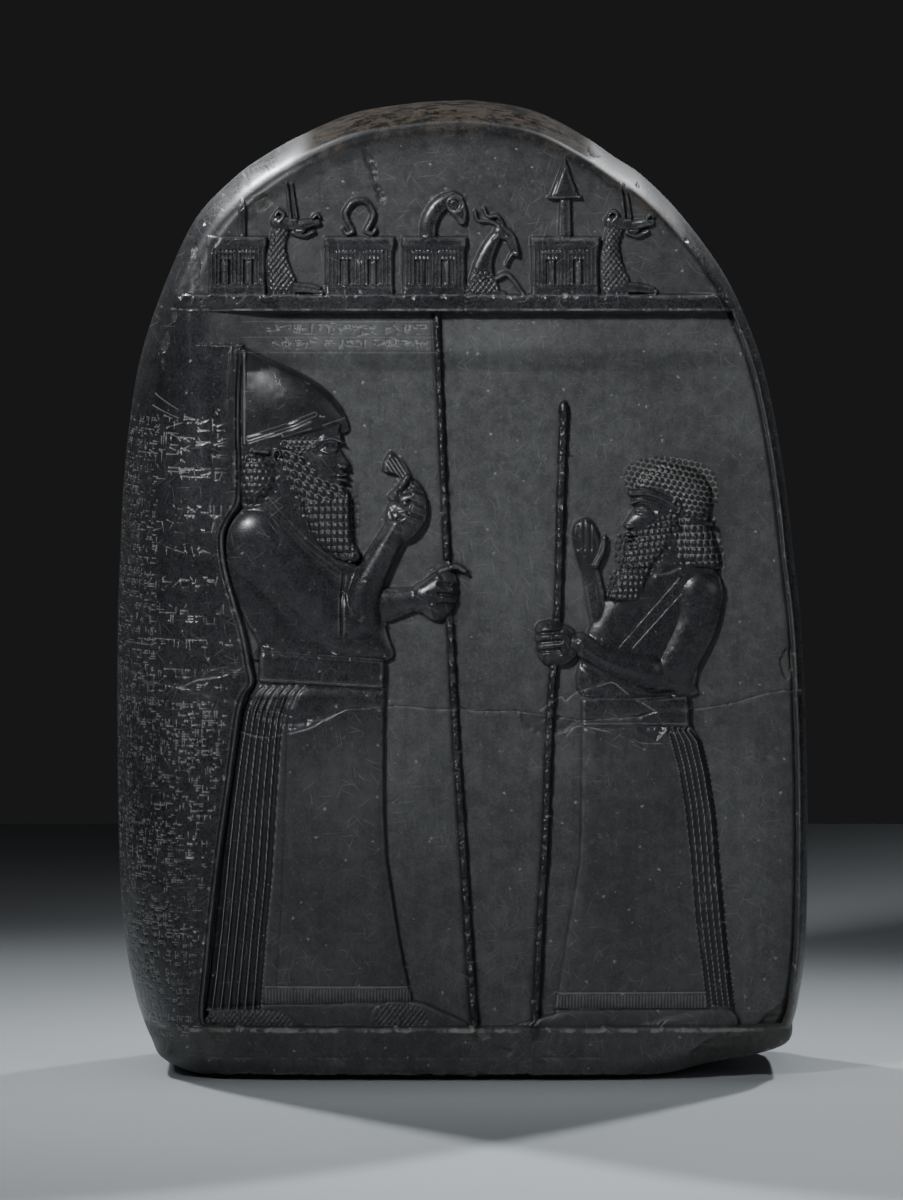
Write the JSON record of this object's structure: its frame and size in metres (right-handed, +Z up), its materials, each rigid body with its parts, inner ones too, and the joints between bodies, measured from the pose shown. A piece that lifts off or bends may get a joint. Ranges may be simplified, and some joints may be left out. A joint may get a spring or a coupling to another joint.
{
  "type": "boundary stone",
  "caption": "Dark polished boulder with an arched top and a flat base, carved in relief with two standing figures holding staffs below a ledge of altars with emblems and beasts.",
  "frame": {"origin": "on the floor, under the middle of the stone's width and depth", "axes": "+Z up, +Y towards the plain back, so the carved front looks along -Y; +X to the right of someone facing the front"},
  "size_m": [0.3243, 0.16, 0.4558],
  "materials": {
    "stone": "dense black limestone, polished on the raised carving and smooth but matt in the sunk fields, with chips, scratches and a mended crack"
  },
  "bodies": {
    "root": {"boundary_stone": "stone"}
  },
  "joints": []
}
